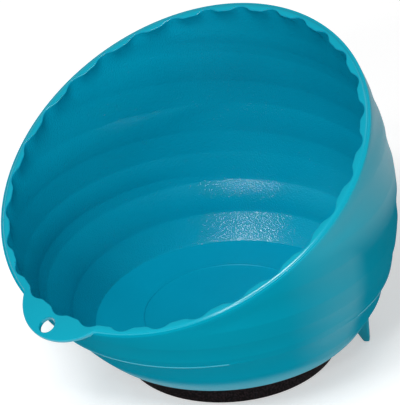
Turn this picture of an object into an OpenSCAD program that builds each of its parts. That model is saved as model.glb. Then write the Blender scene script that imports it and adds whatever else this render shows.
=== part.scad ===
/* [Bowl] */
// Greatest outside diameter of the bowl
bowl_od = 147.4; // [140:0.1:160]
// Height of the greatest diameter above the bowl's underside
belly_h = 74.5; // [70:0.5:80]
// Radius of the wall's upright arc below the belly
belly_arc_r = 128; // [118:1:140]
// Radius of the wall's upright arc above the belly
crown_arc_r = 160; // [120:5:500]
// Lean of the wall towards the tab, in degrees
lean_deg = 13; // [8:0.1:15]
// Height above the underside where the wall starts to lean
lean_from_h = 13.3; // [8:0.1:16]
// Extra reach of the wall on the tab side
front_flare = 5.5; // [0:0.1:7]
// Height above the underside at which the extra reach is complete
front_flare_h = 31.5; // [25:0.5:36]
// Thickness of the wall, measured level
wall_t = 2.4; // [2:0.1:3.2]
// Thickness of the floor
floor_t = 2.6; // [2.2:0.1:4]
// Radius of the rounded heel between the underside and the wall
heel_r = 8; // [5:0.1:9]

/* [Rings in the wall] */
// Depth of the lowest ring
first_ring_d = 0.8; // [0.3:0.1:1.2]
// Depth of the rings higher up
upper_ring_d = 0.4; // [0.2:0.1:0.8]
// Half width of each ring
ring_half_w = 5; // [3:0.1:5.5]
// Height of the lowest ring above the underside
first_ring_h = 18.2; // [17:0.1:20]

/* [Rim] */
// Height of the rim's centre above the underside
rim_h = 74.5; // [70:0.1:80]
// Tilt of the rim's plane, in degrees
rim_tilt = 28.3; // [22:0.1:30]
// Width of the step along the rim's outer edge
rim_step_w = 1.4; // [0.8:0.1:1.6]
// Height of the step along the rim's outer edge
rim_step_h = 1.2; // [0.8:0.1:2]
// Thickening of the wall along the rim's inner edge
bead_t = 2.2; // [1:0.1:3]
// Distance below the rim over which the thickening fades out
bead_h = 8; // [6:0.5:9]
// Number of scoops along the rim's inner edge
scoop_count = 30; // [24:1:32]
// Width of each scoop along the rim
scoop_w = 9; // [8:0.5:11]

/* [Tab] */
// Reach of the hanging tab beyond the rim
tab_reach = 9; // [6:0.5:12]
// Radius of the tab's round end
tab_arc_r = 22.8; // [18:0.2:26]
// Thickness of the tab
tab_t = 1.6; // [1.2:0.1:2.4]
// Diameter of the hanging hole
hole_d = 6.4; // [4:0.1:7]
// Distance from the hole's centre to the tab's outer edge
hole_edge = 4.8; // [4.2:0.1:5.5]

/* [Feet] */
// Angle from the tall side to each foot, in degrees
foot_deg = 47; // [35:1:60]
// Radius of the feet's outer edge, from the base's axis
foot_out_r = 51.9; // [50.5:0.1:52.5]
// Width of each foot where it leaves the bowl
foot_w = 9.4; // [7:0.1:10]
// Thickness of each foot
foot_t = 3; // [2:0.1:4]
// Radius of each foot's tip
foot_tip_r = 0.9; // [0.6:0.1:1.4]
// Gap between the feet and the surface the tray stands on
foot_gap = 0.2; // [0.1:0.1:0.6]

/* [Base] */
// Diameter of the base cup
base_od = 81; // [78:1:84]
// Wall of the base cup
cup_wall = 3; // [2:0.1:4]
// Thickness of the cup's web under the magnet
web_t = 1.5; // [1:0.1:2.5]
// Rounded lower edge of the base cup
cup_edge_r = 1; // [0.5:0.1:1.1]
// Diameter of the anti-slip pad
pad_d = 70; // [60:1:72]
// Thickness of the anti-slip pad
pad_t = 1.5; // [1:0.1:2.5]
// Height by which the pad stands proud of the cup
pad_proud = 0.3; // [0.1:0.1:0.6]
// Thickness of the ring magnet
magnet_t = 6.5; // [5:0.1:9]
// Thickness of the steel pole plate
plate_t = 2; // [1.5:0.1:3]
// Clearance around the magnet, the plate and the pad
seat_gap = 0.3; // [0.1:0.05:0.5]

/* [Fixing] */
// Diameter of the hub under the bowl's floor
hub_d = 28; // [26:1:34]
// Height of the cup's boss above its web
boss_h = 1.6; // [1.2:0.1:2.4]
// Number of fixing screws
screw_count = 3; // [2:1:4]
// Radius of the circle the screws stand on
screw_circle_r = 8.5; // [7.5:0.1:9.5]
// Diameter of a screw's shank
shank_d = 3; // [2.5:0.1:3.5]
// Diameter of a screw's head
head_d = 5.6; // [5:0.1:6.4]
// Height of a screw's head
head_h = 1.8; // [1.2:0.1:2]
// Length of a screw's shank
shank_l = 8; // [6:0.1:8.5]
// Width of the cross slot in a screw's head
slot_w = 0.8; // [0.5:0.1:1]
// Depth of the cross slot in a screw's head
slot_d = 0.9; // [0.5:0.1:1.1]
// Clearance around a screw
screw_gap = 0.1; // [0.05:0.05:0.3]

/* [Hidden] */
$fn = 96;

// Cuts run past the faces they open by this much
overrun = 1;
teal = [0.01, 0.52, 0.64];
rubber_black = [0.04, 0.05, 0.06];

// Heights of the stack under the bowl, from the surface the tray stands on
web_z = pad_t;
magnet_z = web_z + web_t;
plate_z = magnet_z + magnet_t;
seat_z = plate_z + plate_t;
boss_z = magnet_z + boss_h;
head_seat_z = web_z + head_h;

// Radii of the base
cup_r = base_od / 2;
cup_in_r = cup_r - cup_wall;
ring_out_r = cup_in_r - seat_gap;
ring_in_r = hub_d / 2 + seat_gap;
pad_r = pad_d / 2;

// The rings higher up the tall side, as shares of the height of the rim's centre
upper_ring_shares = [0.423, 0.671, 0.982, 1.197];
upper_rings = [for (share = upper_ring_shares) share * rim_h];

// Direction of the tab seen from above
tab_deg = -90;

// The columns of the shell stand at the edges of each scoop and near its middle
scoop_pitch = 360 / scoop_count;
scoop_half_deg = scoop_w / bowl_od * 180 / PI;
column_shares = [-1, -0.35, 0.35, 1];
column_angles = [
    for (i = [0 : scoop_count - 1], share = column_shares)
    tab_deg + i * scoop_pitch + share * scoop_half_deg
];
columns = len(column_angles);

// The rows of the shell: below the knee they are level, above it they close up under the rim
knee_h = first_ring_h + ring_half_w;
first_row_share = 0.45;
low_levels = [first_row_share * first_ring_h, first_ring_h - ring_half_w, first_ring_h, knee_h];
tall_levels = [for (h = upper_rings, side = [-1, 0, 1]) h + side * ring_half_w];
level_share = 0.75;
bead_row_share = 0.4;
heel_steps = 3;
solve_steps = 16;

function lean_y(z) = -max(0, z - lean_from_h) * tan(lean_deg);

function arc_drop(z) =
    let (dz = z - belly_h, r = dz < 0 ? belly_arc_r : crown_arc_r)
    r - sqrt(r * r - dz * dz);

// One on the tab side, falling to nothing on the tall side
flare_falloff = 3.5;
function front_share(a) = pow((1 - sin(a)) / 2, flare_falloff);

function flare(a, z) =
    let (rest = 1 - min(1, max(0, z) / front_flare_h))
    front_flare * front_share(a) * (1 - rest * rest);

// Outside radius of the wall without its rings
function smooth_r(a, z) = bowl_od / 2 - arc_drop(z) + flare(a, z);

// Each ring is a shallow dish in the outside of the wall and a bulge in its inside
function dish(z, h) = max(0, 1 - pow((z - h) / ring_half_w, 2));

// The lowest ring runs right round, the upper ones fade out towards the tab
function rings(a, z) =
    let (fade = (1 + sin(a)) / 2)
    let (upper = max([for (h = upper_rings) dish(z, h)]))
    max(first_ring_d * dish(z, first_ring_h), upper_ring_d * fade * upper);

function wall_r(a, z) = smooth_r(a, z) - rings(a, z);

// Height of a plane parallel to the rim's and lower by drop, at a distance y along the tray
function plane_z(y, drop) =
    rim_h - drop / cos(rim_tilt) + tan(rim_tilt) * (y - lean_y(rim_h));

// Height at which the wall, set in by inset, meets that plane
function cut_z(a, drop, inset, z = rim_h, steps = solve_steps) =
    steps == 0
        ? z
        : let (y = (smooth_r(a, z) - inset) * sin(a) + lean_y(z))
          cut_z(a, drop, inset, plane_z(y, drop), steps - 1);

function on_wall(a, z, r) = [r * cos(a), r * sin(a) + lean_y(z), z];

function rim_point(a, drop, inset) =
    let (z = cut_z(a, drop, inset))
    on_wall(a, z, smooth_r(a, z) - inset);

// Share of the full scoop at an angle: one at a scoop's middle, nothing on the lands between scoops
function scoop_share(a) =
    let (turns = (a - tab_deg) / scoop_pitch, off = (turns - round(turns)) * scoop_pitch)
    max(0, 1 - pow(off / scoop_half_deg, 2));

// How far the inner edge of the rim stands in from the wall
function bead(a, drop) = bead_t * pow(max(0, 1 - drop / bead_h), 2) * (1 - scoop_share(a));

// The heel is an arc that leaves the underside flat and meets the wall at its slope
heel_turn = 90 - asin(belly_h / belly_arc_r);
heel_top_h = heel_r * (1 - cos(heel_turn));
heel_flat_r = bowl_od / 2 - arc_drop(heel_top_h) - heel_r * sin(heel_turn);

// Heights of the rows above the knee, level where the wall is tall and closed up where the rim is low
function tall_rows(a, inset) =
    let (top = cut_z(a, bead_h, inset), tallest = cut_z(-tab_deg, bead_h, inset))
    let (free = knee_h + level_share * (top - knee_h), squeeze = (top - free) / (tallest - free))
    [for (z = tall_levels) z < free ? z : free + (z - free) * squeeze, top];

function wall_row(a, z, inset) = on_wall(a, z, wall_r(a, z) - inset);

function reversed(list) = [for (i = [len(list) - 1 : -1 : 0]) list[i]];

// One column of the shell, from the underside up the outside, over the rim and down to the floor
function column(a) = concat(
    [for (i = [0 : heel_steps])
        let (turn = heel_turn * i / heel_steps)
        on_wall(a, heel_r * (1 - cos(turn)), heel_flat_r + heel_r * sin(turn))],
    [for (z = concat(low_levels, tall_rows(a, 0))) wall_row(a, z, 0)],
    [rim_point(a, rim_step_h, 0), rim_point(a, rim_step_h, rim_step_w), rim_point(a, 0, rim_step_w)],
    [for (drop = [0, bead_row_share * bead_h]) rim_point(a, drop, wall_t + bead(a, drop))],
    [for (z = reversed(concat([floor_t], low_levels, tall_rows(a, wall_t)))) wall_row(a, z, wall_t)]
);

// The shell as one closed skin with a pole under the floor and a pole on it
module shell() {
    grid = [for (a = column_angles) column(a)];
    rows = len(grid[0]);
    under = columns * rows;
    floor_pole = under + 1;
    sides = [
        for (i = [0 : columns - 1], j = [0 : rows - 2])
        let (a = i * rows + j, b = (i + 1) % columns * rows + j)
        each [[a, a + 1, b + 1], [a, b + 1, b]]
    ];
    caps = [
        for (i = [0 : columns - 1])
        let (a = i * rows, b = (i + 1) % columns * rows)
        each [[under, a, b], [floor_pole, b + rows - 1, a + rows - 1]]
    ];
    polyhedron(
        points = [for (one = grid) each one, [0, 0, 0], [0, 0, floor_t]],
        faces = concat(sides, caps),
        convexity = 8
    );
}

// Places in the rim's plane, measured from its centre
rim_low = rim_point(tab_deg, 0, rim_step_w);
rim_low_r = (lean_y(rim_h) - rim_low[1]) / cos(rim_tilt);
tab_end_r = rim_low_r + tab_reach;
tab_centre_r = tab_end_r - tab_arc_r;
hole_centre_r = tab_end_r - hole_edge;
// The tab's root lies inside the wall, and its face a hair below the rim's
tab_root_share = 0.3;
tab_root_r = rim_low_r - tab_root_share * wall_t;
tab_sink = 0.15;

module in_rim_plane() {
    translate([0, lean_y(rim_h), rim_h])
        rotate([rim_tilt, 0, 0])
            translate([0, 0, -tab_sink - tab_t])
                children();
}

module tab() {
    in_rim_plane()
        difference() {
            translate([0, -tab_centre_r, 0])
                cylinder(r = tab_arc_r, h = tab_t);
            translate([0, 0, -overrun])
                cylinder(r = tab_root_r, h = tab_t + 2 * overrun);
        }
}

module hanging_hole() {
    in_rim_plane()
        translate([0, -hole_centre_r, -overrun])
            cylinder(d = hole_d, h = tab_t + 2 * overrun);
}

// A foot's outline in its upright radial plane, measured from the underside
foot_in_r = foot_out_r - foot_w;
// The foot's top turns up into the wall this many wall thicknesses inside the wall's outer face
foot_knee_walls = 1.5;
foot_knee_r = bowl_od / 2 - arc_drop(floor_t) - foot_knee_walls * wall_t;
foot_root_drop = bowl_od / 2 - wall_t / 2 - foot_out_r;
foot_root_h = belly_h - sqrt(2 * belly_arc_r * foot_root_drop - foot_root_drop * foot_root_drop);
foot_tip = [foot_out_r - foot_tip_r, foot_gap + foot_tip_r - seat_z];
foot_lead = foot_tip - [foot_in_r, 0];
foot_lead_l = norm(foot_lead);
foot_edge_deg = atan2(foot_lead[1], foot_lead[0]) - asin(foot_tip_r / foot_lead_l);
foot_edge_l = sqrt(foot_lead_l * foot_lead_l - foot_tip_r * foot_tip_r);

module foot() {
    rotate([90, 0, 0])
        linear_extrude(height = foot_t, center = true) {
            polygon([
                [foot_in_r, 0],
                [foot_in_r, floor_t / 2],
                [foot_knee_r, floor_t / 2],
                [foot_out_r, foot_root_h],
                [foot_out_r, foot_tip[1]],
                foot_tip,
                [foot_in_r, 0] + foot_edge_l * [cos(foot_edge_deg), sin(foot_edge_deg)]
            ]);
            translate(foot_tip)
                circle(r = foot_tip_r);
        }
}

module at_screws() {
    for (i = [0 : screw_count - 1])
        rotate([0, 0, 90 + 360 * i / screw_count])
            translate([screw_circle_r, 0, 0])
                children();
}

// The hub stands on the cup's boss and takes the screws
hub_h = seat_z - boss_z;
pilot_spare = 0.4;
pilot_top_z = head_seat_z + shank_l + pilot_spare;

module hub() {
    translate([0, 0, -hub_h])
        cylinder(d = hub_d, h = hub_h + floor_t / 2);
}

module bowl() {
    color(teal)
        difference() {
            translate([0, 0, seat_z])
                difference() {
                    union() {
                        shell();
                        hub();
                        tab();
                        for (side = [-1, 1])
                            rotate([0, 0, 90 + side * foot_deg])
                                foot();
                    }
                    hanging_hole();
                }
            at_screws()
                translate([0, 0, boss_z - overrun])
                    cylinder(d = shank_d + 2 * screw_gap, h = pilot_top_z - boss_z + overrun);
        }
}

cup_edge_steps = 4;

module base_cup() {
    recess_r = pad_r + seat_gap;
    edge = [for (i = [0 : cup_edge_steps])
        let (turn = 90 * i / cup_edge_steps)
        [cup_r - cup_edge_r * (1 - sin(turn)), pad_proud + cup_edge_r * (1 - cos(turn))]];
    color(rubber_black)
        difference() {
            rotate_extrude()
                polygon(concat(
                    [[0, web_z], [recess_r, web_z], [recess_r, pad_proud]],
                    edge,
                    [
                        [cup_r, seat_z],
                        [cup_in_r, seat_z],
                        [cup_in_r, magnet_z],
                        [hub_d / 2, magnet_z],
                        [hub_d / 2, boss_z],
                        [0, boss_z]
                    ]
                ));
            at_screws() {
                translate([0, 0, web_z - overrun])
                    cylinder(d = head_d + 2 * screw_gap, h = head_h + overrun);
                translate([0, 0, web_z - overrun])
                    cylinder(d = shank_d + 2 * screw_gap, h = boss_z - web_z + 2 * overrun);
            }
        }
}

module base_ring(z, t) {
    translate([0, 0, z])
        difference() {
            cylinder(r = ring_out_r, h = t);
            translate([0, 0, -overrun])
                cylinder(r = ring_in_r, h = t + 2 * overrun);
        }
}

module ring_magnet() {
    color("dimgray")
        base_ring(magnet_z, magnet_t);
}

module pole_plate() {
    color("silver")
        base_ring(plate_z, plate_t);
}

module fixing_screws() {
    color("lightgray")
        at_screws()
            difference() {
                union() {
                    translate([0, 0, web_z])
                        cylinder(d = head_d, h = head_h);
                    translate([0, 0, head_seat_z])
                        cylinder(d = shank_d, h = shank_l);
                }
                for (turn = [0, 90])
                    rotate([0, 0, turn])
                        translate([-head_d / 2, -slot_w / 2, web_z - overrun])
                            cube([head_d, slot_w, slot_d + overrun]);
            }
}

module base_pad() {
    color("black")
        cylinder(r = pad_r, h = pad_t);
}

bowl();
base_cup();
ring_magnet();
pole_plate();
fixing_screws();
base_pad();
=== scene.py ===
"""Looks of the magnetic parts tray: a leaning teal bowl with a slanted, scooped rim, on a black base."""

import math

import bpy
import numpy as np
from mathutils import Matrix, Vector


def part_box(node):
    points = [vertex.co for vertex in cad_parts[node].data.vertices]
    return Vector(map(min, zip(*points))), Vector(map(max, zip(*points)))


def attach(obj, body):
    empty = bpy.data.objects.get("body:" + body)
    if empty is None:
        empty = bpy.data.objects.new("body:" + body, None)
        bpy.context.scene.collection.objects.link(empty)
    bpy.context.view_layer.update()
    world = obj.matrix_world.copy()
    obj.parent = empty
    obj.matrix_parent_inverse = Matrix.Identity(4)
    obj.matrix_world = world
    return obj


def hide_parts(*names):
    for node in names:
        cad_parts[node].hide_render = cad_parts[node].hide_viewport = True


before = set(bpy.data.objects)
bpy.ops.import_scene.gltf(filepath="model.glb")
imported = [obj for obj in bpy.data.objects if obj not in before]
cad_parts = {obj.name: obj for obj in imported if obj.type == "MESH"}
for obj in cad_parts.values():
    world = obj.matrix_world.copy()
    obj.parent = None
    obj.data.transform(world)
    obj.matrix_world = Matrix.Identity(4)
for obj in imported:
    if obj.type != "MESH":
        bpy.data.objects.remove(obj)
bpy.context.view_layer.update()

MM = 0.001

# The bowl's wall, in millimetres, with heights measured from its underside
SEAT_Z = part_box("base_cup")[1].z / MM
BOWL_ACROSS = 147.4
BELLY_HEIGHT = 74.5
BELLY_ARC = 128
CROWN_ARC = 160
LEAN = math.radians(13)
LEAN_FROM = 13.3
FRONT_FLARE = 5.5
FLARE_HEIGHT = 31.5
FLARE_FALLOFF = 3.5
WALL = 2.4
FLOOR = 2.6
HEEL_RADIUS = 8
HUB_RADIUS = 14
HUB_DROP = 6.9
FLOOR_CORNER = 0.03
FLOOR_CIRCLE = 31.8
# The fine raised circle on the floor: (offset from its radius, height)
FLOOR_RIDGE = ((0.3, 0.04), (0.12, 0.26), (-0.12, 0.26), (-0.3, 0.04))

# The slanted rim with its step, its scooped bead and its hanging tab
RIM_HEIGHT = 74.5
RIM_TILT = math.radians(28.3)
STEP_WIDTH = 1.1
STEP_HEIGHT = 0.6
# The corner between the wall and the lip's step: (drop, inset)
LIP_FOOT = ((0.34, 0), (0.1, 0.09), (0, 0.32))
# The lip's underside and the tab's lower edge: (drop and inset on the tab, flare and rise beside it)
LIP_RISER = ((0, 0.5, 0.3, 0), (0.12, 0.14, 0.12, 0.02), (0.45, 0, 0.03, 0.07))
# The lip's sloping outer edge, from its foot inwards: (inset, drop below the rim's plane)
LIP_EDGE = ((0, 0.47), (0.04, 0.41), (0.12, 0.34), (0.22, 0.26),
            (0.33, 0.185), (0.45, 0.115), (0.57, 0.055), (0.7, 0))
BEAD = 1.95
BEAD_HEIGHT = 8
BEAD_EASE = 0.35
# Drops below the rim's plane of the rows of the outer wall under the lip, and of the bead's rows inside
OUTER_DROPS = (BEAD_HEIGHT, 6.4, 5, 3.8, 2.9, 2.2)
BEAD_DROPS = (0.8, 1.5, 2.3, 3.2, 4.2, 5.2, 6.4, BEAD_HEIGHT)
SCOOPS = 30
SCOOP_WIDTH = 9.8
SCOOP_FALLOFF = 1.2
TAB_REACH = 8.74
TAB_ARC = 22.8
TAB_THICKNESS = 1.6
TAB_EASE = 0.5
TAB_FILLET = 0.5
TAB_BLEND = 1.5
TAB_ANGLE = math.radians(-90)
HOLE_ACROSS = 6.3
HOLE_EDGE = 4.8
HOLE_EASE = 0.14
# The flare at each end of the hole: (rise, growth), as shares of its ease
HOLE_FLARE = ((0.5, 0.13), (0.37, 0.37), (0.13, 0.5))

# The two feet under the tall side
FOOT_ANGLE = math.radians(47)
FOOT_OUT = 51.9
FOOT_WIDTH = 9.4
FOOT_THICKNESS = 3
FOOT_GAP = 0.2
FOOT_TOE = 2.2
FOOT_EASE = 0.7
# How far the foot's top reaches up into the heel, at its inner end and at its outer one
FOOT_INNER_RISE = 1.1
FOOT_OUTER_RISE = 4.4
FOOT_KNEE = 0.4

COLUMNS = 420

# Rolls in the wall like those of a thrown pot, each dished outside and bulging inside between two creases:
# (angle, lower crease, upper crease, depth) at spots round the wall
ROLLS = (
    ((20, 12.2, 23.3, 0.8), (75, 12.3, 24.1, 0.9), (100, 12.3, 24.3, 1.25), (145, 12.3, 24.2, 1.25),
     (175, 12.3, 23.6, 0.8), (235, 12.2, 23.2, 0.8), (274, 12, 22.8, 0.8), (330, 12, 23.8, 0.8)),
    ((20, 27.2, 35, 0.3), (96, 26, 35.4, 0.2), (125, 25.5, 35.4, 0.22), (145, 26, 35.5, 0.25),
     (158, 27.4, 35.6, 0.5), (215, 27.4, 35.6, 0.5), (240, 27.4, 35.6, 0.4), (330, 27.4, 35.6, 0.4)),
    ((20, 43.8, 56.5, 0.5), (126, 43.8, 56.5, 0.45), (133, 44, 56.4, 0.1), (142, 44.4, 55.6, 0.1),
     (150, 44.4, 55, 0.38), (200, 44.4, 55, 0.4), (340, 44, 56.5, 0.5)),
    ((60, 66.3, 80, 0.5), (80, 66.3, 80, 0.32), (150, 66.3, 80, 0.32),
     (180, 66.3, 80, 0.3), (340, 66.3, 80, 0.5)),
    ((50, 84.4, 94, 0.35), (85, 84.4, 94, 0.18), (110, 84.4, 93, 0.15), (130, 84.4, 93, 0.3)),
)
# Short rolls where one of them breaks off and starts again a little higher
STRAY_ROLLS = (
    ((122, 36, 44, 0), (131, 36, 44, 0.2), (146, 35.6, 43.4, 0.2), (153, 35, 43, 0)),
    ((124, 55, 60, 0), (131, 54.2, 60, 0.16), (140, 51.6, 57.5, 0.2),
     (148, 49, 55, 0.16), (153, 48, 54, 0)),
)
# Rows below the lowest roll, and across each roll, as shares of the way up
LOW_ROWS = (0.1, 0.25, 0.45, 0.65, 0.82)
LOW_ROWS_END = 12
ROLL_ROWS = (0, 0.04, 0.12, 0.24, 0.37, 0.5, 0.63, 0.76, 0.88, 0.96, 1)
CREASE_STEP = 0.3
# A fine raised seam outside, just above the lowest roll
SEAM = 0.26
SEAM_MIDDLE = 0.46
SEAM_HALF = 0.4
SEAM_ROWS = (0.06, 0.18, 0.32, 0.46, 0.6, 0.74, 0.86)
# Where the seam shows and where it runs out: (angle, share of its height)
SEAM_RUN = ((2, 0), (10, 1), (318, 1), (332, 0), (350, 0))
# The seam takes the rim's polished plastic, whose colour is painted lighter, where its share is above this
SEAM_POLISH_AND_PAINTED_LIGHT = 0.8

# The outside's painted sheen, a stronger coat with a colour painted lighter, fades between two values each:
# heights, or turns in radians from the side towards the tall side. It is weak in a stripe up each side, full
# behind it above the belly, and also on the heel
STRIPE_START = (-0.35, 0.03)
STRIPE_END = (0.26, 0.1)
STRIPE_SHEEN = 0.6
BELLY_SHEEN = (52, 70)
HEEL_SHEEN = (11, 5)

# How often the plastic's tone and grain change, per metre
TONE_SCALE = 22
GRAIN_SCALE = 1400

# The stage: the paper under the tray, the lamps and the camera, with the paper's size and the distances in
# metres, and the paper's clearance and the points aimed at in millimetres
PAPER_SIZE = 12
PAPER_SHADE = 0.72
PAPER_GLOW = 0.48
PAPER_CLEARANCE = 0.1
LAMP_DISTANCE = 2.5
LAMP_AIM = Vector((0, -10, 60))
CAMERA_AZIMUTH = 51.57
CAMERA_ELEVATION = 31.11
CAMERA_ROLL = -5.53
CAMERA_DISTANCE = 1.17
CAMERA_AIM = Vector((-4.24, -5.35, 62.2))
SENSOR_HEIGHT = 36
FOCAL_LENGTH = 285.07
VIEW_DEPTH = 20


def lean(height):
    return -np.maximum(0, height - LEAN_FROM) * math.tan(LEAN)


def front_flare(angle, height):
    front = ((1 - np.sin(angle)) / 2) ** FLARE_FALLOFF
    return FRONT_FLARE * front * (1 - (1 - np.clip(height / FLARE_HEIGHT, 0, 1)) ** 2)


def smooth_radius(angle, height):
    above = height - BELLY_HEIGHT
    bend = np.where(above < 0, BELLY_ARC, CROWN_ARC)
    return BOWL_ACROSS / 2 - (bend - np.sqrt(bend**2 - above**2)) + front_flare(angle, height)


def rim_plane(y, drop):
    return RIM_HEIGHT - drop / math.cos(RIM_TILT) + math.tan(RIM_TILT) * (y - lean(RIM_HEIGHT))


def rim_cut(angle, drop, inset):
    """The height at which the wall, inset from its outside, lies a given drop below the rim's plane."""
    height = np.full_like(angle, RIM_HEIGHT)
    for _ in range(30):
        y = (smooth_radius(angle, height) - inset) * np.sin(angle) + lean(height)
        height = rim_plane(y, drop)
    return height


def round_values(angle, spots, place):
    """A value that runs smoothly round the wall through the spots."""
    ticks = np.arange(360)
    at = np.array([spot[0] for spot in spots], float)
    rough = np.interp(ticks, at, [spot[place] for spot in spots], period=360)
    reach = 6
    hump = np.hanning(2 * reach + 3)[1:-1]
    soft = np.convolve(np.concatenate((rough[-reach:], rough, rough[:reach])), hump / hump.sum(), "valid")
    return np.interp(np.degrees(angle), ticks, soft, period=360)


def roll_depth(angle, height):
    """How far the rolls push the wall inwards, fading out below the rim."""
    depth = np.zeros_like(height)
    for spots in ROLLS + STRAY_ROLLS:
        low, high, deep = (round_values(angle, spots, place) for place in (1, 2, 3))
        share = np.clip((height - low) / (high - low), 0, 1)
        depth += 4 * deep * share * (1 - share)
    y = smooth_radius(angle, height) * np.sin(angle) + lean(height)
    left = (rim_plane(y, 0) - height) * math.cos(RIM_TILT)
    return depth * np.clip((left - 2) / 6, 0, 1)


def on_wall(angle, radius, height):
    height = np.broadcast_to(height, angle.shape)
    return np.stack((radius * np.cos(angle), radius * np.sin(angle) + lean(height), height + SEAT_Z), axis=-1)


def seam(angle, height):
    above = height - round_values(angle, ROLLS[0], 2) - SEAM_MIDDLE
    return SEAM * round_values(angle, SEAM_RUN, 1) * np.maximum(0, 1 - (above / SEAM_HALF) ** 2)


def wall_point(angle, height, inset):
    return on_wall(angle, smooth_radius(angle, height) - inset - roll_depth(angle, height), height)


def level_rows(angle, first, inset):
    """Heights of the rows up to the bead, which follow the creases and close up under the rim's low side."""
    heights = [np.full_like(angle, first + (LOW_ROWS_END - first) * share) for share in LOW_ROWS]
    for spots in ROLLS:
        low, high = round_values(angle, spots, 1), round_values(angle, spots, 2)
        heights += [(heights[-1] + low) / 2, low - CREASE_STEP]
        heights += [low + (high - low) * share for share in ROLL_ROWS]
        seamed = spots is ROLLS[0] and not inset
        heights += [high + step for step in (SEAM_ROWS if seamed else (CREASE_STEP,))]
    top = rim_cut(angle, BEAD_HEIGHT, inset)
    tallest = np.maximum(heights[-1], top.max()) + 0.3
    free = first + 0.85 * (top - first)
    squeeze = (top - free) / (tallest - free)
    return [np.where(height > free, free + (height - free) * squeeze, height) for height in heights]


def scoop_share(angle):
    pitch = 2 * math.pi / SCOOPS
    half = SCOOP_WIDTH / BOWL_ACROSS
    off = (angle - TAB_ANGLE + pitch / 2) % pitch - pitch / 2
    return np.maximum(0, 1 - (off / half) ** 2) ** SCOOP_FALLOFF


def bead(angle, drop):
    return BEAD * max(0, 1 - drop / BEAD_HEIGHT) ** 2 * (1 - scoop_share(angle))


def rim_row(angle, drop, inset):
    return wall_point(angle, rim_cut(angle, drop, inset), inset)


RIM_MIDDLE = np.array((0, lean(RIM_HEIGHT), RIM_HEIGHT + SEAT_Z))
RIM_UPHILL = np.array((0, math.cos(RIM_TILT), math.sin(RIM_TILT)))
RIM_NORMAL = np.array((0, -math.sin(RIM_TILT), math.cos(RIM_TILT)))


def in_rim_plane(across, uphill, drop):
    return (RIM_MIDDLE + across[..., None] * np.array((1, 0, 0)) + uphill[..., None] * RIM_UPHILL
            - np.asarray(drop)[..., None] * RIM_NORMAL)


def lip_outline(angle):
    """The lip's outer edge in the rim's plane, carried out round the tab.

    Gives its direction and radius, the share of tab and the lip's reach at its lowest point.
    """
    edge = rim_row(angle, 0, STEP_WIDTH) - RIM_MIDDLE
    across, uphill = edge[..., 0], edge @ RIM_UPHILL
    reach = np.hypot(across, uphill)
    lowest = reach[np.argmin(uphill)]
    tab_middle = lowest + TAB_REACH - TAB_ARC
    aside = across / reach
    toward = -uphill / reach
    room = TAB_ARC**2 - (tab_middle * aside) ** 2
    tab = np.where((room > 0) & (toward > 0), tab_middle * toward + np.sqrt(np.maximum(room, 0)), 0)
    gap = tab - reach
    grown = reach + np.where(gap > -8, (gap + np.sqrt(gap**2 + TAB_FILLET**2)) / 2, 0)
    share = np.clip((grown - reach) / TAB_BLEND, 0, 1)
    return aside, -toward, grown, share * share * (3 - 2 * share), lowest


def underside_rows(angle):
    """The hub, the flat underside and the heel's curve into the wall, and the height where the heel ends."""
    none = np.zeros_like(angle)
    turn = math.pi / 2 - math.asin(BELLY_HEIGHT / BELLY_ARC)
    heel_top = HEEL_RADIUS * (1 - math.cos(turn))
    plain = smooth_radius(np.array(math.pi / 2), np.array(heel_top))
    flat = float(plain) - HEEL_RADIUS * math.sin(turn)
    rows = [on_wall(angle, none, none - HUB_DROP)]
    rows += [on_wall(angle, none + HUB_RADIUS, none - drop) for drop in (HUB_DROP, 0)]
    rows += [on_wall(angle, none + radius, none) for radius in (22, 34, 42, flat - 1.5)]
    for share in np.linspace(0, 1, 6):
        rise = HEEL_RADIUS * (1 - math.cos(turn * share))
        radius = flat + HEEL_RADIUS * math.sin(turn * share) + front_flare(angle, np.array(rise))
        rows.append(on_wall(angle, radius, none + rise))
    return rows, heel_top


def outer_rows(angle, heel_top):
    """The outer wall with its seam, up to the foot of the lip."""
    rows = [wall_point(angle, height, -seam(angle, height)) for height in level_rows(angle, heel_top, 0)]
    return rows + [rim_row(angle, drop, 0) for drop in OUTER_DROPS]


def lip_rows(angle):
    """The corner under the lip, and then the lip with the tab."""
    aside, ahead, reach, tab, _ = lip_outline(angle)
    under = STEP_HEIGHT + (TAB_THICKNESS - STEP_HEIGHT) * tab
    foot = []
    for drop, inset in LIP_FOOT:
        height = rim_cut(angle, under + drop, inset * (1 - tab))
        foot.append(wall_point(angle, height, inset * (1 - tab)))
    lip = []
    for drop, inset, flare, rise in LIP_RISER:
        out = reach - inset * tab + flare * (1 - tab)
        lip.append(in_rim_plane(aside * out, ahead * out, under - drop * tab - rise * (1 - tab)))
    for turn, (inset, drop) in zip(np.linspace(0, math.pi / 2, len(LIP_EDGE)), LIP_EDGE):
        out = reach - inset * (1 - tab) - TAB_EASE * (1 - math.cos(turn)) * tab
        below = drop * (1 - tab) + TAB_EASE * (1 - math.sin(turn)) * tab
        lip.append(in_rim_plane(aside * out, ahead * out, below))
    return foot, lip


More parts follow.
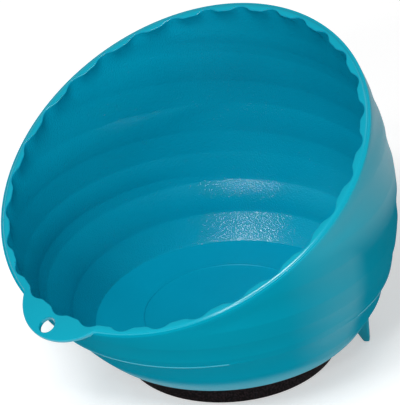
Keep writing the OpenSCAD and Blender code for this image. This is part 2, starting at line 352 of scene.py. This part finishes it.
def inner_rows(angle):
    """The bead's eased edge, the scooped bead, the inner wall and the corner at its foot."""
    none = np.zeros_like(angle)
    rows = []
    for share in (0, 0.25, 0.5, 0.75, 1):
        drop = BEAD_EASE * (1 - math.cos(share * math.pi / 2))
        inset = WALL + bead(angle, BEAD_EASE) - BEAD_EASE * (1 - math.sin(share * math.pi / 2))
        rows.append(rim_row(angle, drop, inset))
    rows += [rim_row(angle, drop, WALL + bead(angle, drop)) for drop in BEAD_DROPS]
    rows += [wall_point(angle, height, WALL) for height in reversed(level_rows(angle, FLOOR + 0.3, WALL))]
    foot_of_wall = smooth_radius(angle, none + FLOOR) - WALL
    for share in (0, 0.35, 0.7, 1):
        rise = FLOOR_CORNER * (1 - math.sin(share * math.pi / 2))
        back = FLOOR_CORNER * (1 - math.cos(share * math.pi / 2))
        rows.append(on_wall(angle, foot_of_wall + rise * 0.7 - back, none + FLOOR + rise))
    return rows


def floor_rows(angle):
    """The floor with its fine raised circle, in to the middle."""
    none = np.zeros_like(angle)
    outside = [(radius, 0) for radius in (46, 42, 38, 34.5, FLOOR_CIRCLE + 0.5)]
    circle = [(FLOOR_CIRCLE + offset, rise) for offset, rise in FLOOR_RIDGE]
    inside = [(radius, 0) for radius in (FLOOR_CIRCLE - 0.5, 28, 22, 14, 6, 0)]
    return [on_wall(angle, none + radius, none + FLOOR + rise) for radius, rise in outside + circle + inside]


def bowl_rows(angle):
    """The bowl's closed skin, row by row, and the rows from which its seam, rim, grain and floor start."""
    underside, heel_top = underside_rows(angle)
    outer = outer_rows(angle, heel_top)
    lip_foot, lip = lip_rows(angle)
    inner = inner_rows(angle)
    seam_from = len(underside) + len(LOW_ROWS) + 2 + len(ROLL_ROWS)
    rim_from = len(underside) + len(outer) + len(lip_foot)
    grained_from = rim_from + len(lip)
    floor_from = grained_from + len(inner) - 1
    rows = underside + outer + lip_foot + lip + inner + floor_rows(angle)
    return np.array(rows), seam_from, rim_from, grained_from, floor_from


def clear_selection():
    if bpy.context.mode != "OBJECT":
        bpy.ops.object.mode_set(mode="OBJECT")
    bpy.ops.object.select_all(action="DESELECT")


def set_in_place(piece):
    """Puts a piece's place into its mesh."""
    clear_selection()
    piece.select_set(True)
    bpy.context.view_layer.objects.active = piece
    bpy.ops.object.transform_apply(location=True, rotation=True, scale=True)


def hole_cutter():
    """A pin with flared ends, across the tab, that leaves eased edges round the hole."""
    lowest = lip_outline(np.radians(np.linspace(0, 360, COLUMNS + 1)) + TAB_ANGLE)[4]
    out = lowest + TAB_REACH - HOLE_EDGE
    middle = in_rim_plane(np.zeros(1), np.array((-out,)), np.array((TAB_THICKNESS / 2,)))[0]
    clear_selection()
    straight = TAB_THICKNESS - 2 * HOLE_EASE
    bpy.ops.mesh.primitive_cylinder_add(vertices=64, radius=HOLE_ACROSS / 2 * MM, depth=straight * MM)
    pin = bpy.context.object
    for side in (1, -1):
        bpy.ops.object.mode_set(mode="EDIT")
        bpy.ops.mesh.select_all(action="DESELECT")
        bpy.ops.object.mode_set(mode="OBJECT")
        for face in pin.data.polygons:
            face.select = face.normal.z * side > 0.9
        bpy.ops.object.mode_set(mode="EDIT")
        bpy.ops.mesh.select_mode(type="FACE")
        radius = HOLE_ACROSS / 2
        for rise, grow in HOLE_FLARE:
            wider = radius + grow * HOLE_EASE
            lift = (0, 0, side * rise * HOLE_EASE * MM)
            bpy.ops.mesh.extrude_region_move(TRANSFORM_OT_translate={"value": lift})
            bpy.ops.transform.resize(value=(wider / radius, wider / radius, 1))
            radius = wider
        bpy.ops.mesh.extrude_region_move(TRANSFORM_OT_translate={"value": (0, 0, side * 2 * MM)})
        bpy.ops.object.mode_set(mode="OBJECT")
    pin.rotation_euler = (RIM_TILT, 0, 0)
    pin.location = Vector(middle) * MM
    set_in_place(pin)
    return pin


def moulded_bowl(outside, rim, inside, floor):
    """The bowl's skin: a grid bent into the leaning wall, closed at its seam and poles, with the hole cut."""
    angle = np.radians(np.linspace(0, 360, COLUMNS + 1)) + TAB_ANGLE
    rows, seam_from, rim_from, grained_from, floor_from = bowl_rows(angle)
    clear_selection()
    bpy.ops.mesh.primitive_grid_add(x_subdivisions=COLUMNS, y_subdivisions=len(rows) - 1, size=1)
    bowl = bpy.context.object
    bowl.name = bowl.data.name = "bowl_shell"
    mesh = bowl.data
    flat = np.empty(len(mesh.vertices) * 3)
    mesh.vertices.foreach_get("co", flat)
    flat = flat.reshape(-1, 3) + 0.5
    column = np.rint(flat[:, 0] * COLUMNS).astype(int)
    row = np.rint(flat[:, 1] * (len(rows) - 1)).astype(int)
    middles = np.empty(len(mesh.polygons) * 3)
    mesh.polygons.foreach_get("center", middles)
    middles = middles.reshape(-1, 3) + 0.5
    face_angle = angle[(middles[:, 0] * COLUMNS).astype(int)]
    face_row = (middles[:, 1] * (len(rows) - 1)).astype(np.int32)
    mesh.vertices.foreach_set("co", (rows[row, column] * MM).ravel())
    for plastic in (outside, rim, inside, floor):
        mesh.materials.append(plastic)
    on_seam = (face_row >= seam_from) & (face_row < seam_from + len(SEAM_ROWS) - 1)
    # Painted light: the rim, the tab and the polished part of the seam take the rim's plastic, painted
    # lighter
    polished_and_painted_light = (face_row >= rim_from) | (on_seam & (round_values(face_angle, SEAM_RUN, 1) > SEAM_POLISH_AND_PAINTED_LIGHT))
    plastic_index = polished_and_painted_light.astype(np.int32) + (face_row >= grained_from) + (face_row >= floor_from)
    mesh.polygons.foreach_set("material_index", plastic_index)
    mesh.update()
    bpy.ops.object.mode_set(mode="EDIT")
    bpy.ops.mesh.select_all(action="SELECT")
    bpy.ops.mesh.remove_doubles(threshold=0.002 * MM)
    bpy.ops.mesh.normals_make_consistent(inside=False)
    bpy.ops.object.mode_set(mode="OBJECT")

    pin = hole_cutter()
    pin.data.materials.append(rim)
    clear_selection()
    bowl.select_set(True)
    bpy.context.view_layer.objects.active = bowl
    cut = bowl.modifiers.new("hanging_hole", "BOOLEAN")
    cut.operation = "DIFFERENCE"
    cut.solver = "EXACT"
    cut.object = pin
    bpy.ops.object.modifier_apply(modifier=cut.name)
    bpy.data.objects.remove(pin)
    bpy.ops.object.shade_smooth_by_angle(angle=math.radians(38))
    return bowl


def heel_foot():
    """One foot under the tall side: a tapered fin that leans out to the edge of the heel, on the +Y side."""
    inner = FOOT_OUT - FOOT_WIDTH
    clear_selection()
    bpy.ops.mesh.primitive_cube_add(size=1)
    foot = bpy.context.object
    foot.data.transform(Matrix.Diagonal((FOOT_THICKNESS * MM, FOOT_WIDTH * MM, (SEAT_Z - FOOT_GAP) * MM, 1)))
    foot.data.transform(Matrix.Translation((0, (inner + FOOT_WIDTH / 2) * MM, (SEAT_Z + FOOT_GAP) / 2 * MM)))
    bpy.ops.object.mode_set(mode="EDIT")
    bpy.ops.mesh.select_mode(type="VERT")
    bpy.ops.mesh.select_all(action="DESELECT")
    bpy.ops.object.mode_set(mode="OBJECT")
    for corner in foot.data.vertices:
        corner.select = corner.co.z < SEAT_Z / 2 * MM and corner.co.y < (FOOT_OUT - 1) * MM
    bpy.ops.object.mode_set(mode="EDIT")
    bpy.ops.transform.translate(value=(0, (FOOT_WIDTH - FOOT_TOE) * MM, 0))
    bpy.ops.mesh.select_all(action="DESELECT")
    bpy.ops.mesh.select_mode(type="EDGE")
    bpy.ops.object.mode_set(mode="OBJECT")
    for edge in foot.data.edges:
        ends = [foot.data.vertices[end].co for end in edge.vertices]
        edge.select = min(end.z for end in ends) > SEAT_Z / 2 * MM and abs(ends[0].y - ends[1].y) > MM
    bpy.ops.object.mode_set(mode="EDIT")
    bpy.ops.mesh.subdivide(number_cuts=1)
    bpy.ops.object.mode_set(mode="OBJECT")
    for corner in foot.data.vertices:
        if corner.co.z > SEAT_Z / 2 * MM:
            share = (corner.co.y / MM - inner) / FOOT_WIDTH
            corner.co.z = (SEAT_Z + (FOOT_INNER_RISE if share < 0.8 else FOOT_OUTER_RISE)) * MM
            corner.co.y += FOOT_KNEE * MM if 0.2 < share < 0.8 else 0
    ease = foot.modifiers.new("moulded_edges", "BEVEL")
    ease.width = FOOT_EASE * MM
    ease.segments = 4
    bpy.ops.object.modifier_apply(modifier=ease.name)
    bpy.ops.object.shade_smooth_by_angle(angle=math.radians(40))
    return foot


def bowl_feet(plastic):
    first = heel_foot()
    feet = []
    for name, side in (("bowl_foot_right", -1), ("bowl_foot_left", 1)):
        foot = bpy.data.objects.new(name, first.data.copy())
        foot.data.name = name
        bpy.context.scene.collection.objects.link(foot)
        foot.data.materials.append(plastic)
        foot.rotation_euler = (0, 0, side * FOOT_ANGLE)
        set_in_place(foot)
        feet.append(foot)
    bpy.data.objects.remove(first)
    return feet


def new_material(name):
    material = bpy.data.materials.new(name)
    material.use_nodes = True
    nodes, links = material.node_tree.nodes, material.node_tree.links
    return material, nodes, links, nodes["Principled BSDF"]


def moulding_tone():
    """Slow changes of tone in moulded plastic and rubber, and a fine surface grain."""
    group = bpy.data.node_groups.new("moulding_tone", "ShaderNodeTree")
    for name, value in (("Tone Scale", TONE_SCALE), ("Grain Scale", GRAIN_SCALE)):
        socket = group.interface.new_socket(name, in_out="INPUT", socket_type="NodeSocketFloat")
        socket.default_value = value
    for name in ("Tone", "Grain"):
        group.interface.new_socket(name, in_out="OUTPUT", socket_type="NodeSocketFloat")
    nodes, links = group.nodes, group.links
    start, end = nodes.new("NodeGroupInput"), nodes.new("NodeGroupOutput")
    place = nodes.new("ShaderNodeTexCoord")
    slow = nodes.new("ShaderNodeTexNoise")
    slow.inputs["Detail"].default_value = 3
    fine = nodes.new("ShaderNodeTexNoise")
    fine.inputs["Detail"].default_value = 0.4
    fine.inputs["Roughness"].default_value = 0.5
    for noise, scale in ((slow, "Tone Scale"), (fine, "Grain Scale")):
        links.new(place.outputs["Object"], noise.inputs["Vector"])
        links.new(start.outputs[scale], noise.inputs["Scale"])
    links.new(slow.outputs["Fac"], end.inputs["Tone"])
    links.new(fine.outputs["Fac"], end.inputs["Grain"])
    return group


def add_tone(nodes, group, tone_scale, grain_scale):
    tone = nodes.new("ShaderNodeGroup")
    tone.node_tree = group
    tone.inputs["Tone Scale"].default_value = tone_scale
    tone.inputs["Grain Scale"].default_value = grain_scale
    return tone


def add_ramp(nodes, links, source, low, high, stops=(0.3, 0.7)):
    ramp = nodes.new("ShaderNodeValToRGB")
    for element, at, colour in zip(ramp.color_ramp.elements, stops, (low, high)):
        element.position = at
        element.color = (*colour, 1)
    links.new(source, ramp.inputs["Fac"])
    return ramp.outputs["Color"]


def add_range(nodes, links, source, low, high):
    spread = nodes.new("ShaderNodeMapRange")
    spread.inputs["From Min"].default_value = 0.3
    spread.inputs["From Max"].default_value = 0.7
    spread.inputs["To Min"].default_value = low
    spread.inputs["To Max"].default_value = high
    links.new(source, spread.inputs["Value"])
    return spread.outputs["Result"]


def add_bump(nodes, links, source, distance, shader):
    bump = nodes.new("ShaderNodeBump")
    bump.inputs["Strength"].default_value = 1
    bump.inputs["Distance"].default_value = distance
    links.new(source, bump.inputs["Height"])
    links.new(bump.outputs["Normal"], shader.inputs["Normal"])


def teal_plastic(group, name, low, high, rough, grain_scale, grain_height):
    material, nodes, links, shader = new_material(name)
    tone = add_tone(nodes, group, TONE_SCALE, grain_scale)
    links.new(add_ramp(nodes, links, tone.outputs["Tone"], low, high), shader.inputs["Base Color"])
    links.new(add_range(nodes, links, tone.outputs["Grain"], *rough), shader.inputs["Roughness"])
    add_bump(nodes, links, tone.outputs["Grain"], grain_height, shader)
    shader.inputs["IOR"].default_value = 1.49
    return material


def painted_sheen_mask():
    """A painted sheen and painted light: a stronger coat and a lighter colour up each side, behind above the
    belly, and at the heel.
    """
    group = bpy.data.node_groups.new("painted_sheen_mask", "ShaderNodeTree")
    group.interface.new_socket("Painted Sheen", in_out="OUTPUT", socket_type="NodeSocketFloat")
    nodes, links = group.nodes, group.links
    place, split = nodes.new("ShaderNodeTexCoord"), nodes.new("ShaderNodeSeparateXYZ")
    links.new(place.outputs["Object"], split.inputs[0])

    def step(source, start, end):
        soft = nodes.new("ShaderNodeMapRange")
        soft.interpolation_type = "SMOOTHSTEP"
        soft.inputs["From Min"].default_value = min(start, end)
        soft.inputs["From Max"].default_value = max(start, end)
        soft.inputs["To Min"].default_value = float(start > end)
        soft.inputs["To Max"].default_value = float(start < end)
        links.new(source, soft.inputs["Value"])
        return soft.outputs["Result"]

    def join(operation, *sources):
        both = nodes.new("ShaderNodeMath")
        both.operation = operation
        for socket, source in zip(both.inputs, sources):
            if isinstance(source, float):
                socket.default_value = source
            else:
                links.new(source, socket)
        return both.outputs[0]

    x, y, z = split.outputs
    upright = join("MULTIPLY_ADD", join("SUBTRACT", z, (SEAT_Z + LEAN_FROM) * MM), math.tan(LEAN), y)
    turn = join("ARCTAN2", upright, join("ABSOLUTE", x))
    stripe = join("MULTIPLY", step(turn, *STRIPE_END), STRIPE_SHEEN)
    heights = (BELLY_SHEEN, HEEL_SHEEN)
    belly, heel = (step(z, (SEAT_Z + start) * MM, (SEAT_Z + end) * MM) for start, end in heights)
    side = join("MULTIPLY", step(turn, *STRIPE_START), join("MAXIMUM", stripe, belly))
    sheen_mask = join("MAXIMUM", side, heel)
    links.new(sheen_mask, nodes.new("NodeGroupOutput").inputs["Painted Sheen"])
    return group


def teal_outside(group):
    """Satin plastic with a thin gloss, with a painted sheen that makes the coat stronger and the colour
    lighter.
    """
    material = teal_plastic(group, "teal_satin", (0, 0.272, 0.392), (0.001, 0.3, 0.425),
                            (0.3, 0.4), GRAIN_SCALE, 0.004 * MM)
    nodes, links = material.node_tree.nodes, material.node_tree.links
    shader = nodes["Principled BSDF"]
    sheen_mask, gloss = nodes.new("ShaderNodeGroup"), nodes.new("ShaderNodeMapRange")
    sheen_mask.node_tree = painted_sheen_mask()
    gloss.inputs["To Min"].default_value = 0.02
    gloss.inputs["To Max"].default_value = 0.5
    links.new(sheen_mask.outputs["Painted Sheen"], gloss.inputs["Value"])
    # Painted light: the colour is mixed towards a lighter teal where the painted sheen is
    clear = nodes.new("ShaderNodeMix")
    clear.data_type = "RGBA"
    clear.inputs["B"].default_value = (0.002, 0.345, 0.465, 1)
    links.new(sheen_mask.outputs["Painted Sheen"], clear.inputs["Factor"])
    links.new(shader.inputs["Base Color"].links[0].from_socket, clear.inputs["A"])
    links.new(clear.outputs["Result"], shader.inputs["Base Color"])
    links.new(gloss.outputs["Result"], shader.inputs["Coat Weight"])
    shader.inputs["Coat Roughness"].default_value = 0.25
    shader.inputs["Specular IOR Level"].default_value = 0
    return material


def teal_rim_painted_light(group):
    # Glossier plastic for the rim, the tab and part of the seam, with its colour painted lighter than the
    # wall's as painted light
    return teal_plastic(group, "teal_polish_painted_light", (0, 0.345, 0.475), (0.002, 0.38, 0.51),
                        (0.17, 0.23), GRAIN_SCALE, 0.004 * MM)


def teal_inside(group):
    """The same plastic with the fine spark-eroded grain of the mould's core."""
    material = teal_plastic(group, "teal_grain", (0, 0.285, 0.43), (0.001, 0.315, 0.465),
                            (0.09, 0.11), 1900, 0.185 * MM)
    material.node_tree.nodes["Principled BSDF"].inputs["Specular IOR Level"].default_value = 0.38
    return material


def teal_floor(group):
    """The bowl's floor, which the mould leaves smooth and dull."""
    material = teal_plastic(group, "teal_dull", (0, 0.29, 0.435), (0.001, 0.32, 0.47),
                            (0.3, 0.36), GRAIN_SCALE, 0.004 * MM)
    material.node_tree.nodes["Principled BSDF"].inputs["Specular IOR Level"].default_value = 0.1
    return material


def speckled_black(group, name, low, high, rough, grain_scale, grain_height):
    """Dull black rubber or ferrite with a fine speckle."""
    material, nodes, links, shader = new_material(name)
    tone = add_tone(nodes, group, 60, grain_scale)
    speckle = add_ramp(nodes, links, tone.outputs["Grain"], low, high, (0.42, 0.72))
    links.new(speckle, shader.inputs["Base Color"])
    links.new(add_range(nodes, links, tone.outputs["Tone"], *rough), shader.inputs["Roughness"])
    add_bump(nodes, links, tone.outputs["Grain"], grain_height, shader)
    shader.inputs["Specular IOR Level"].default_value = 0.08
    return material


def plated_steel(group):
    material, nodes, links, shader = new_material("zinc_plating")
    tone = add_tone(nodes, group, 140, 900)
    zinc = add_ramp(nodes, links, tone.outputs["Tone"], (0.42, 0.43, 0.45), (0.56, 0.57, 0.58))
    links.new(zinc, shader.inputs["Base Color"])
    links.new(add_range(nodes, links, tone.outputs["Grain"], 0.28, 0.42), shader.inputs["Roughness"])
    add_bump(nodes, links, tone.outputs["Grain"], 0.004 * MM, shader)
    shader.inputs["Metallic"].default_value = 1
    return material


def dress_node(name, material):
    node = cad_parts[name]
    node.data.materials.clear()
    node.data.materials.append(material)


def seen_directly(nodes, links):
    """A mask of the rays that come from the eye, a reflection or a clear piece."""
    path = nodes.new("ShaderNodeLightPath")
    either, any_of = nodes.new("ShaderNodeMath"), nodes.new("ShaderNodeMath")
    either.operation = any_of.operation = "MAXIMUM"
    links.new(path.outputs["Is Camera Ray"], either.inputs[0])
    links.new(path.outputs["Is Glossy Ray"], either.inputs[1])
    links.new(either.outputs[0], any_of.inputs[0])
    links.new(path.outputs["Is Transmission Ray"], any_of.inputs[1])
    return any_of.outputs[0]


def white_floor():
    clear_selection()
    bpy.ops.mesh.primitive_plane_add(size=PAPER_SIZE)
    floor = bpy.context.object
    floor.data.transform(Matrix.Translation((0, 0, -PAPER_CLEARANCE * MM)))
    floor.name = "studio_floor"
    material, nodes, links, paper = new_material("white_paper")
    paper.inputs["Base Color"].default_value = (PAPER_SHADE, PAPER_SHADE, PAPER_SHADE, 1)
    paper.inputs["Roughness"].default_value = 1
    paper.inputs["Specular IOR Level"].default_value = 0
    glow = nodes.new("ShaderNodeEmission")
    seen = nodes.new("ShaderNodeAddShader")
    mix = nodes.new("ShaderNodeMixShader")
    glow.inputs["Strength"].default_value = PAPER_GLOW
    links.new(paper.outputs[0], seen.inputs[0])
    links.new(glow.outputs[0], seen.inputs[1])
    links.new(seen_directly(nodes, links), mix.inputs[0])
    links.new(paper.outputs[0], mix.inputs[1])
    links.new(seen.outputs[0], mix.inputs[2])
    links.new(mix.outputs[0], nodes["Material Output"].inputs["Surface"])
    floor.data.materials.append(material)


def studio_world():
    world = bpy.data.worlds.new("studio")
    bpy.context.scene.world = world
    world.use_nodes = True
    fill = world.node_tree.nodes["Background"]
    fill.inputs["Color"].default_value = (1, 1, 1, 1)
    fill.inputs["Strength"].default_value = 0.15


def direction(azimuth, elevation):
    """The way out from the object, with azimuths turning from the tab's side to the right."""
    turn, rise = math.radians(azimuth), math.radians(elevation)
    return Vector((math.sin(turn) * math.cos(rise), -math.cos(turn) * math.cos(rise), math.sin(rise)))


def softbox(name, azimuth, elevation, size, power):
    lamp = bpy.data.lights.new(name, "AREA")
    lamp.shape = "RECTANGLE"
    lamp.size, lamp.size_y = size
    lamp.energy = power
    piece = bpy.data.objects.new(name, lamp)
    bpy.context.scene.collection.objects.link(piece)
    away = direction(azimuth, elevation)
    piece.location = LAMP_AIM * MM + away * LAMP_DISTANCE
    piece.rotation_euler = away.to_track_quat("Z", "Y").to_euler()


def photo_camera():
    """The photograph's long-lens view from the front right, slightly rolled."""
    back = direction(CAMERA_AZIMUTH, CAMERA_ELEVATION)
    roll = math.radians(CAMERA_ROLL)
    right = Vector((0, 0, 1)).cross(back).normalized()
    up = back.cross(right)
    across = right * math.cos(roll) + up * math.sin(roll)
    above = up * math.cos(roll) - right * math.sin(roll)
    lens = bpy.data.cameras.new("photo_camera")
    lens.sensor_fit = "VERTICAL"
    lens.sensor_height = SENSOR_HEIGHT
    lens.lens = FOCAL_LENGTH
    lens.clip_end = VIEW_DEPTH
    camera = bpy.data.objects.new("photo_camera", lens)
    bpy.context.scene.collection.objects.link(camera)
    camera.rotation_euler = Matrix((across, above, back)).transposed().to_euler()
    camera.location = CAMERA_AIM * MM + back * CAMERA_DISTANCE
    bpy.context.scene.camera = camera


tone_group = moulding_tone()
outside_plastic = teal_outside(tone_group)
painted_light_rim_plastic = teal_rim_painted_light(tone_group)
inside_plastic = teal_inside(tone_group)
floor_plastic = teal_floor(tone_group)
cup_rubber = speckled_black(tone_group, "black_cup_rubber", (0.0016, 0.001, 0.0012), (0.02, 0.012, 0.014),
                            (0.55, 0.75), 1500, 0.06 * MM)
pad_rubber = speckled_black(tone_group, "black_pad_rubber", (0.006, 0.006, 0.007), (0.02, 0.021, 0.022),
                            (0.7, 0.85), 2600, 0.04 * MM)
ferrite = speckled_black(tone_group, "sintered_ferrite", (0.02, 0.02, 0.022), (0.045, 0.045, 0.048),
                         (0.6, 0.8), 3000, 0.02 * MM)
plating = plated_steel(tone_group)

bowl = moulded_bowl(outside_plastic, painted_light_rim_plastic, inside_plastic, floor_plastic)
for piece in [bowl] + bowl_feet(outside_plastic):
    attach(piece, "root")
    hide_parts("bowl")
dress_node("base_cup", cup_rubber)
dress_node("base_pad", pad_rubber)
dress_node("ring_magnet", ferrite)
dress_node("pole_plate", plating)
dress_node("fixing_screws", plating)

white_floor()
studio_world()
softbox("key_softbox", azimuth=24, elevation=57, size=(1.14, 0.6), power=40)
softbox("glint_softbox", azimuth=26, elevation=28, size=(0.4, 0.3), power=13)
softbox("edge_softbox", azimuth=14, elevation=44, size=(0.3, 0.2), power=4)
softbox("side_softbox", azimuth=80, elevation=6, size=(1, 0.4), power=17)
softbox("back_softbox", azimuth=200, elevation=65, size=(1.14, 1.14), power=4)
photo_camera()
bpy.context.scene.view_settings.view_transform = "Standard"
